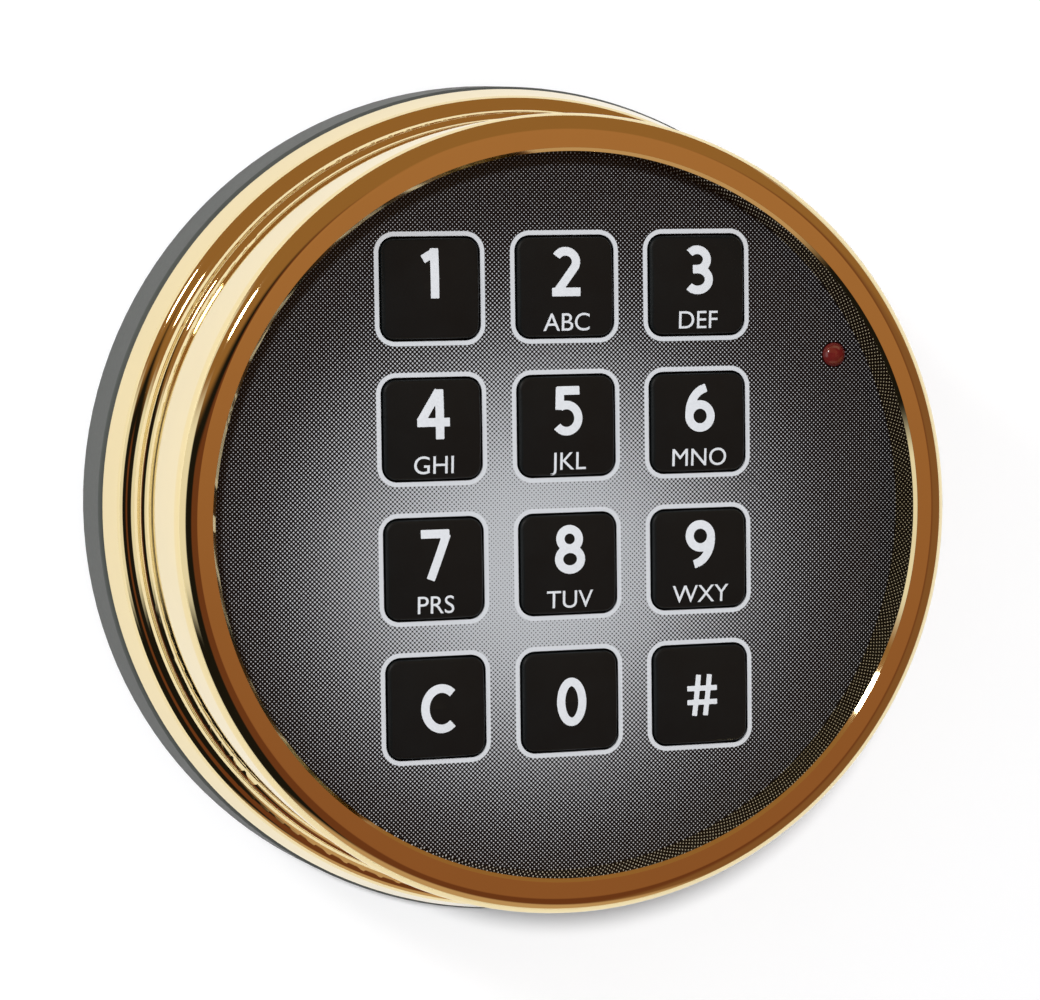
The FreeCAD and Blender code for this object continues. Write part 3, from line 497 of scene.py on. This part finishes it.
def board_material():
    """Green solder mask over faint copper tracks."""
    material, shader = new_material("board_mask")
    point, (x, y, z) = shader.place()
    bend = shader.noise(point, 0.12, 0.0)
    lines = ((x + z * 0.5 + bend * 9.0) / 1.27).math("FRACT")
    track = abs(lines - 0.5).ease(0.17, 0.12)
    mask = shader.noise(point, 0.18, 0.0).ease(0.46, 0.50)
    copper = track * mask
    principled(
        shader,
        Base_Color=shader.mix(copper, (0.006, 0.055, 0.022), (0.012, 0.115, 0.04)),
        Roughness=0.28,
        Normal=shader.bump(copper, 0.00003, 0.6),
    )
    return material


def jacket_material():
    """A battery's plain jacket: dark body with a copper-coloured band at its terminal end."""
    material, shader = new_material("battery_jacket")
    point, (x, y, z) = shader.place()
    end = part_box("battery")[1].x / MM
    band = x.ease(end - 15.0, end - 14.9)
    stud = x.ease(end - 2.2, end - 2.1)
    scuff = shader.noise(point, 1.2, 4.0)
    tone = shader.mix(band, (0.012, 0.012, 0.014), (0.42, 0.17, 0.05))
    principled(
        shader,
        Base_Color=shader.mix(stud, tone, (0.6, 0.6, 0.58)),
        Metallic=band * 0.8,
        Roughness=0.25 + scuff * 0.15,
        Normal=shader.bump(scuff, 0.00001, 0.3),
    )
    return material


def crown_of(label):
    """The key's own surface, to lay signs on."""
    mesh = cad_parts["key_" + label].data
    return BVHTree.FromPolygons([vertex.co for vertex in mesh.vertices],
                                [face.vertices for face in mesh.polygons])


def bar(*points):
    """A stroke's straight run through points."""
    return [Vector(point) for point in points]


def bow(centre, wide, tall, start, end):
    """A stroke's curved run, part of an oval, between two directions in degrees."""
    steps = max(int(abs(end - start) / 8), 2)
    angles = [math.radians(start + (end - start) * number / steps) for number in range(steps + 1)]
    return [Vector((centre[0] + wide * math.cos(angle), centre[1] + tall * math.sin(angle)))
            for angle in angles]


# Centre lines of the big signs in millimetres from a sign's middle, 5.4 mm tall with their width
NUMERALS = {
    "0": [bow((0, 0), 1.22, 2.22, 0, 360)],
    "1": [bar((0.35, -2.7), (0.35, 2.7)), bar((0.5, 2.36), (-0.95, 1.52))],
    "2": [bow((-0.1, 1.08), 1.2, 1.14, 148, -28) + bar((-1.12, -2.2)),
          bar((-1.68, -2.22), (1.55, -2.22))],
    "3": [bow((-0.12, 1.15), 1.14, 1.07, 138, -90), bow((-0.12, -1.07), 1.32, 1.15, 90, -140),
          bar((-0.65, 0.08), (0.0, 0.08))],
    "4": [bar((0.62, 2.55), (-1.5, -0.80)), bar((-1.85, -0.86), (1.8, -0.86)),
          bar((0.68, 2.7), (0.68, -2.7))],
    "5": [bar((-1.25, 2.24), (1.35, 2.24)), bar((-0.86, 2.6), (-1.0, 0.15)),
          bow((-0.22, -0.78), 1.36, 1.44, 122, -142)],
    "6": [bow((0.03, -0.94), 1.25, 1.28, 0, 360), bow((1.2, -0.75), 2.42, 2.97, 99, 180)],
    "7": [bar((-1.6, 2.24), (1.6, 2.24)), bar((1.3, 2.2), (-0.62, -2.75))],
    "8": [bow((0, 1.16), 1.06, 1.06, 0, 360), bow((0, -1.07), 1.26, 1.15, 0, 360)],
    "9": [bow((-0.03, 0.94), 1.25, 1.28, 0, 360), bow((-1.2, 0.75), 2.42, 2.97, 279, 360)],
    "c": [bow((0.42, 0), 1.85, 2.22, 48, 312)],
    "hash": [bar((-0.92, -2.3), (-0.4, 2.3)), bar((0.36, -2.3), (0.88, 2.3)),
             bar((-1.75, 0.78), (1.75, 0.78)), bar((-1.75, -0.78), (1.75, -0.78))],
}
STROKE = 0.94
THIN_STROKE = 0.58
SIGN_HALF = (2.6, 2.9)
SIGN_CELL = 0.085
LETTER_CUT = 0.4 * MM


def from_stroke(point, stroke, half):
    """Distance from a stroke of constant width with square ends."""
    nearest = 10.0
    closed = (stroke[0] - stroke[-1]).length < 0.01
    for first, second in zip(stroke, stroke[1:]):
        along = second - first
        length = along.length
        along = along / length
        offset = point - first
        run = offset.dot(along)
        beyond = max(-run, run - length)
        aside = abs(offset.x * along.y - offset.y * along.x) - half
        if beyond < 0 or aside < 0:
            gap = max(beyond, aside)
        else:
            gap = math.hypot(beyond, aside)
        nearest = min(nearest, gap)
    for joint in stroke[:-1] if closed else stroke[1:-1]:
        ends = min((joint - stroke[0]).length, (joint - stroke[-1]).length)
        if closed or ends > half * 1.05:
            nearest = min(nearest, (point - joint).length - half)
    return nearest


def stroke_mesh(name, strokes, width):
    """A flat mesh of a sign's strokes in x and z, cut cleanly along their edges."""
    counts = [int(half / SIGN_CELL) for half in SIGN_HALF]
    spots = [(i, j) for i in range(-counts[0], counts[0] + 1)
             for j in range(-counts[1], counts[1] + 1)]
    field = {}
    for i, j in spots:
        point = Vector((i * SIGN_CELL, j * SIGN_CELL))
        field[i, j] = min(from_stroke(point, stroke, width / 2) for stroke in strokes)
    shape = bmesh.new()
    made = {}

    def vertex(here, there, share):
        key = (here, there) if here <= there else (there, here)
        if key not in made:
            x = here[0] + (there[0] - here[0]) * share
            z = here[1] + (there[1] - here[1]) * share
            made[key] = shape.verts.new((x * SIGN_CELL * MM, 0, z * SIGN_CELL * MM))
        return made[key]

    for i, j in spots:
        ring = [(i, j), (i + 1, j), (i + 1, j + 1), (i, j + 1)]
        if any(spot not in field for spot in ring):
            continue
        outline = []
        for here, there in zip(ring, ring[1:] + ring[:1]):
            if field[here] < 0:
                outline.append(vertex(here, here, 0.0))
            if (field[here] < 0) != (field[there] < 0):
                share = field[here] / (field[here] - field[there])
                outline.append(vertex(here, there, share))
        if len(outline) > 2:
            shape.faces.new(outline)
    mesh = bpy.data.meshes.new(name)
    shape.to_mesh(mesh)
    shape.free()
    return mesh


def text_shape(text):
    """Flat built-in letters as a mesh, one unit of type to a metre."""
    curve = bpy.data.curves.new("letters_curve", "FONT")
    curve.body = text
    curve.align_x = "CENTER"
    curve.resolution_u = 6
    carrier = bpy.data.objects.new("letters_carrier", curve)
    bpy.context.scene.collection.objects.link(carrier)
    bpy.context.view_layer.update()
    mesh = bpy.data.meshes.new_from_object(carrier)
    bpy.data.objects.remove(carrier)
    bpy.data.curves.remove(curve)
    return mesh


def letter_mesh(text, height):
    """Flat letters about the origin in x and z, with capitals of a real height."""
    capital = text_shape("H")
    tops = [vertex.co.y for vertex in capital.vertices]
    low, high = min(tops), max(tops)
    bpy.data.meshes.remove(capital)
    mesh = text_shape(text)
    scale = height / (high - low)
    xs = [vertex.co.x for vertex in mesh.vertices]
    middle = Vector(((max(xs) + min(xs)) / 2, (high + low) / 2, 0))
    for vertex in mesh.vertices:
        offset = (vertex.co - middle) * scale
        vertex.co = Vector((offset.x, 0, offset.y))
    return mesh


def cut_up(shape, step):
    """Cut a flat shape along a grid, so that it can follow a curved face."""
    for axis in (Vector((1, 0, 0)), Vector((0, 0, 1))):
        reach = max(abs(vertex.co.dot(axis)) for vertex in shape.verts)
        steps = int(reach / step)
        for number in range(-steps, steps + 1):
            bmesh.ops.bisect_plane(
                shape, geom=shape.verts[:] + shape.edges[:] + shape.faces[:],
                plane_co=axis * number * step, plane_no=axis, dist=1e-7)


def lay_on_crown(mesh, label, up, lift=0.025 * MM, step=None):
    """Lay a flat sign on a key's crown, a little proud of it, and give it a thickness."""
    centre = key_centre(label)
    crown = crown_of(label)
    ahead = Vector((0, -MM, 0))
    shape = bmesh.new()
    shape.from_mesh(mesh)
    if step:
        cut_up(shape, step)
    for vertex in shape.verts:
        start = centre + Vector((vertex.co.x, 0, vertex.co.z + up)) + ahead
        touch = crown.ray_cast(start, Vector((0, 1, 0)))[0]
        if touch is None:
            raise RuntimeError("A sign reaches past key " + label)
        vertex.co = touch + Vector((0, -lift, 0))
    shape.normal_update()
    if sum(face.normal.y for face in shape.faces) > 0:
        bmesh.ops.reverse_faces(shape, faces=shape.faces[:])
    thick = bmesh.ops.extrude_face_region(shape, geom=shape.faces[:])
    for item in thick["geom"]:
        if isinstance(item, bmesh.types.BMVert):
            item.co.y -= lift
    shape.to_mesh(mesh)
    shape.free()


def add_sign(name, mesh, label, material):
    """One sign on a key, riding with it."""
    mesh.name = name
    mesh.materials.append(material)
    sign = bpy.data.objects.new(name, mesh)
    bpy.context.scene.collection.objects.link(sign)
    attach(sign, "key_" + label)


class SAFELOCK_OT_housing(bpy.types.Operator):
    """Plate the housing in polished gold"""

    bl_idname = "safelock.housing"
    bl_label = "Housing"

    def execute(self, context):
        gold = gold_material()
        dress("bezel_housing", gold)
        make_plating(gold)
        return {"FINISHED"}


class SAFELOCK_OT_base(bpy.types.Operator):
    """Paint the base and colour the seal"""

    bl_idname = "safelock.base"
    bl_label = "Base and seal"

    def execute(self, context):
        dress("mounting_base", base_material())
        dress("seal_ring", plain_material("seal_rubber", (0.012, 0.012, 0.012),
                                          (0.02, 0.02, 0.02), 0.55))
        return {"FINISHED"}


class SAFELOCK_OT_film(bpy.types.Operator):
    """Print the film and colour the fascia behind it"""

    bl_idname = "safelock.film"
    bl_label = "Film and fascia"

    def execute(self, context):
        dress("overlay_film", film_material())
        dress("fascia_panel", plain_material("fascia_plastic", (0.008, 0.008, 0.009),
                                             (0.014, 0.014, 0.015), 0.5))
        return {"FINISHED"}


class SAFELOCK_OT_keys(bpy.types.Operator):
    """Finish the key caps and print their signs"""

    bl_idname = "safelock.keys"
    bl_label = "Keys and signs"

    def execute(self, context):
        caps = key_material()
        ink = sign_material()
        signs = sign_settings()
        for label in LABELS:
            dress("key_" + label, caps)
            up = signs.numeral_up if label.isdigit() and label != "0" else 0.0
            width = THIN_STROKE if label == "hash" else STROKE
            sign = stroke_mesh("numeral", NUMERALS[label], width)
            lay_on_crown(sign, label, up)
            add_sign("sign_" + label, sign, label, ink)
            if label in LETTERS:
                word = letter_mesh(LETTERS[label], signs.letter_height)
                lay_on_crown(word, label, signs.letter_up, step=LETTER_CUT)
                add_sign("letters_" + label, word, label, ink)
        return {"FINISHED"}


class SAFELOCK_OT_light(bpy.types.Operator):
    """Tint the status light"""

    bl_idname = "safelock.light"
    bl_label = "Status light"

    def execute(self, context):
        dress("status_light", light_material())
        return {"FINISHED"}


class SAFELOCK_OT_inside(bpy.types.Operator):
    """Finish the board, the battery and what holds them"""

    bl_idname = "safelock.inside"
    bl_label = "Inside pieces"

    def execute(self, context):
        black = plain_material("moulded_black", (0.010, 0.010, 0.011), (0.018, 0.018, 0.019), 0.48)
        steel = plain_material("spring_steel", (0.50, 0.50, 0.49), (0.60, 0.60, 0.58), 0.22, 1.0)
        zinc = plain_material("zinc_plate", (0.55, 0.56, 0.58), (0.68, 0.68, 0.68), 0.30, 1.0)
        dress("circuit_board", board_material())
        dress("battery", jacket_material())
        dress("battery_tray", black)
        for node in ("battery_connector", "controller_chip", "buzzer"):
            dress(node, plain_material(node + "_plastic", (0.012, 0.012, 0.012),
                                       (0.02, 0.02, 0.02), 0.42))
        for node in ("battery_clip", "retaining_ring"):
            dress(node, steel)
        for node in ("board_screws", "clip_screws", "crystal"):
            dress(node, zinc)
        for label in LABELS:
            dress("snap_dome_" + label, steel)
        dress("battery_pins", plain_material("pin_brass", (0.75, 0.52, 0.22),
                                             (0.82, 0.60, 0.28), 0.2, 1.0))
        dress("capacitor", plain_material("capacitor_sleeve", (0.01, 0.012, 0.03),
                                          (0.014, 0.018, 0.045), 0.3))
        dress("cable_socket", plain_material("socket_nylon", (0.66, 0.63, 0.54),
                                             (0.72, 0.69, 0.60), 0.45))
        return {"FINISHED"}


WALL_GAP = 0.4 * MM
WALL_SIDE = 0.34
WALL_TOP = 0.12
WALL_BOTTOM = -0.30


def make_wall():
    """The pale wall that the lock is fixed to, one face towards the viewer."""
    corners = ((-WALL_SIDE, WALL_BOTTOM), (WALL_SIDE, WALL_BOTTOM), (WALL_SIDE, WALL_TOP),
               (-WALL_SIDE, WALL_TOP))
    mesh = bpy.data.meshes.new("backdrop")
    mesh.from_pydata([(x, WALL_GAP, z) for x, z in corners], [], [(0, 1, 2, 3)])
    mesh.update()
    backdrop = bpy.data.objects.new("backdrop", mesh)
    bpy.context.scene.collection.objects.link(backdrop)
    mesh.materials.append(wall_material())


def wall_material():
    """Pale card: white with its shadows to the viewer, and nothing from behind."""
    material, shader = new_material("backdrop_card")
    point, unused = shader.place()
    fibre = shader.noise(point, 0.4, 3.0)
    card = shader.node("ShaderNodeBsdfDiffuse", {},
                       shader.mix(fibre, (0.80, 0.80, 0.80), (0.83, 0.83, 0.83)))
    white = shader.node("ShaderNodeBsdfDiffuse", {},
                        shader.mix(fibre, (0.99, 0.99, 1.0), (1.0, 1.0, 1.0)))
    glow = shader.node("ShaderNodeEmission", {}, (1.0, 1.0, 1.0, 1.0), 0.03)
    lit = shader.node("ShaderNodeAddShader", {}, white, glow)
    seen = paper_rays(shader)
    front = shader.node("ShaderNodeMixShader", {}, seen, card, lit)
    hollow = shader.node("ShaderNodeBsdfTransparent")
    back = shader.node("ShaderNodeNewGeometry", output="Backfacing")
    whole = shader.node("ShaderNodeMixShader", {}, back, front, hollow)
    out = shader.tree.nodes.new("ShaderNodeOutputMaterial")
    shader.tree.links.new(whole.output, out.inputs["Surface"])
    return material


def paper_rays(shader):
    """1 for rays of the camera and those that metal or glass sends on."""
    rays = [shader.node("ShaderNodeLightPath", output=kind)
            for kind in ("Is Camera Ray", "Is Glossy Ray", "Is Transmission Ray")]
    return rays[0].math("MAXIMUM", rays[1]).math("MAXIMUM", rays[2])


# The room as the plating mirrors it, each a colour in linear light
DAYLIGHT = (0.31, 0.31, 0.315)
ROOM_PAPER = (0.95, 0.95, 0.95)
ROOM_FRONT_LOW = (0.31, 0.125, 0.050)
ROOM_FRONT_HIGH = (0.45, 0.215, 0.086)
ROOM_CEILING = (0.34, 0.17, 0.058)
ROOM_DUSK = (0.17, 0.055, 0.022)
ROOM_DARK = (0.012, 0.011, 0.009)
ROOM_FLOOR = (0.60, 0.40, 0.24)
ROOM_RIGHT = (0.26, 0.12, 0.05)


def make_room(shader):
    """The mirrored room by direction: paper behind and at the left, brown front and ceiling."""
    way = shader.node("ShaderNodeTexCoord", output="Generated")
    x, y, z = [shader.node("ShaderNodeSeparateXYZ", {}, way, output=axis) for axis in "XYZ"]
    level = (x * x + y * y).math("SQRT").math("MAXIMUM", 0.001)
    side = x / level
    left = side * -1.0
    ahead = y * -1.0
    room = shader.mix(left.ease(0.40, 0.52), ROOM_DUSK, ROOM_DARK)
    room = shader.mix(z.ease(0.03, 0.10) * left.ease(-0.05, 0.05), room, ROOM_DARK)
    room = shader.mix(side.ease(0.45, 0.70), room, ROOM_RIGHT)
    room = shader.mix(z.ease(0.16, 0.34), room, ROOM_CEILING)
    room = shader.mix((z * -1.0).ease(0.80, 0.90), room, ROOM_FLOOR)
    front = shader.mix(z.ease(-0.20, 0.06), ROOM_FRONT_LOW, ROOM_FRONT_HIGH)
    room = shader.mix(ahead.ease(0.84, 0.90) * side.ease(0.05, 0.13), room, front)
    panel = left.ease(0.84, 0.90) * ahead.ease(-0.2, -0.1) * (1 - abs(z).ease(0.22, 0.42))
    room = shader.mix(panel, room, ROOM_PAPER)
    wall = (ahead * -1.0).ease(-0.02, 0.04) * (1 - z.ease(0.55, 0.70))
    return shader.mix(wall, room, ROOM_PAPER)


def make_world():
    """White to the camera, soft grey as light, and the room in the plating's reflections."""
    world = bpy.data.worlds.new("studio")
    bpy.context.scene.world = world
    world.use_nodes = True
    shader = Shader(world.node_tree)
    room = make_room(shader)
    camera = shader.node("ShaderNodeLightPath", output="Is Camera Ray")
    glossy = shader.node("ShaderNodeLightPath", output="Is Glossy Ray")
    through = shader.node("ShaderNodeLightPath", output="Is Transmission Ray")
    plain = shader.mix(glossy, DAYLIGHT, room)
    seen = shader.mix(camera.math("MAXIMUM", through), plain, (1.0, 1.0, 1.0))
    ground = shader.node("ShaderNodeBackground", {}, seen, 1.0)
    out = shader.tree.nodes.new("ShaderNodeOutputWorld")
    shader.tree.links.new(ground.output, out.inputs["Surface"])


# The light that throws the shadow, and the lamp that the small highlights point to
WINDOW_WAY = (-0.29, -0.93, 0.23)
WINDOW_ANGLE = math.radians(6.0)
WINDOW_STRENGTH = 2.25
GLINT_WAY = (-0.68, -0.50, 0.52)
GLINT_DISTANCE = 0.55
GLINT_SIZE = 0.09
GLINT_POWER = 0.5


def aim(lamp, towards, distance):
    """Put a lamp in a direction from the lock, facing it."""
    bpy.context.scene.collection.objects.link(lamp)
    way = Vector(towards).normalized()
    lamp.location = way * distance
    lamp.rotation_mode = "QUATERNION"
    lamp.rotation_quaternion = (-way).to_track_quat("-Z", "Y")


def add_window():
    """The broad, even light that throws the shadow on the wall."""
    data = bpy.data.lights.new("window_light", "SUN")
    data.energy = WINDOW_STRENGTH
    data.angle = WINDOW_ANGLE
    lamp = bpy.data.objects.new("window_light", data)
    aim(lamp, WINDOW_WAY, 1.0)
    lamp.visible_glossy = False


def add_glint():
    """The small lamp that sparkles on the roundings and sheens on the keys."""
    data = bpy.data.lights.new("glint_lamp", "AREA")
    data.shape = "DISK"
    data.size = GLINT_SIZE
    data.energy = GLINT_POWER
    aim(bpy.data.objects.new("glint_lamp", data), GLINT_WAY, GLINT_DISTANCE)


# The camera that took the photograph, measured from the keys' corners: its place from the ring's
# axis on the film's plane, the way it looks and its upward direction
CAMERA_PLACE = (-100.77 * MM, -332.94 * MM, 27.13 * MM)
CAMERA_LOOK = (0.27624, 0.95830, -0.07319)
CAMERA_UP = (0.03272, 0.06673, 0.99723)
CAMERA_LENS = 109.7
SENSOR = 36.0


def make_camera():
    """The photograph's view."""
    data = bpy.data.cameras.new("view")
    data.lens = CAMERA_LENS
    data.sensor_width = SENSOR
    data.clip_start = 0.01
    data.clip_end = 20.0
    camera = bpy.data.objects.new("view", data)
    bpy.context.scene.collection.objects.link(camera)
    back = -Vector(CAMERA_LOOK).normalized()
    right = Vector(CAMERA_UP).cross(back).normalized()
    up = back.cross(right)
    place = Vector(CAMERA_PLACE) + Vector((0, FILM_FRONT, 0))
    camera.matrix_world = Matrix.Translation(place) @ Matrix((right, up, back)).transposed().to_4x4()
    bpy.context.scene.camera = camera


class SAFELOCK_OT_stage(bpy.types.Operator):
    """Set up the backdrop, the lamps, the room and the camera"""

    bl_idname = "safelock.stage"
    bl_label = "Stage"

    def execute(self, context):
        make_wall()
        make_world()
        make_camera()
        add_window()
        add_glint()
        context.scene.view_settings.view_transform = "Standard"
        return {"FINISHED"}


class SAFELOCK_PT_panel(bpy.types.Panel):
    """The lock's finishes, signs and operators"""

    bl_idname = "SAFELOCK_PT_panel"
    bl_label = "Safe Lock"
    bl_space_type = "VIEW_3D"
    bl_region_type = "UI"
    bl_category = "Safe Lock"

    def draw(self, context):
        for group in (context.scene.safe_lock_finish, context.scene.safe_lock_signs):
            box = self.layout.box()
            for name in group.__annotations__:
                box.prop(group, name)
        for operator in OPERATORS:
            self.layout.operator(operator.bl_idname)


OPERATORS = (
    SAFELOCK_OT_housing,
    SAFELOCK_OT_base,
    SAFELOCK_OT_film,
    SAFELOCK_OT_keys,
    SAFELOCK_OT_light,
    SAFELOCK_OT_inside,
    SAFELOCK_OT_stage,
)
CLASSES = (SafeLockFinish, SafeLockSigns, *OPERATORS, SAFELOCK_PT_panel)


def register():
    """Register the classes and hang their settings on the scene."""
    for item in CLASSES:
        bpy.utils.register_class(item)
    bpy.types.Scene.safe_lock_finish = PointerProperty(type=SafeLockFinish)
    bpy.types.Scene.safe_lock_signs = PointerProperty(type=SafeLockSigns)


def unregister():
    """Take the settings and the classes away again."""
    del bpy.types.Scene.safe_lock_signs
    del bpy.types.Scene.safe_lock_finish
    for item in reversed(CLASSES):
        bpy.utils.unregister_class(item)


def main():
    """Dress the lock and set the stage."""
    register()
    bpy.ops.safelock.housing()
    bpy.ops.safelock.base()
    bpy.ops.safelock.film()
    bpy.ops.safelock.keys()
    bpy.ops.safelock.light()
    bpy.ops.safelock.inside()
    bpy.ops.safelock.stage()


if __name__ == "__main__":
    main()
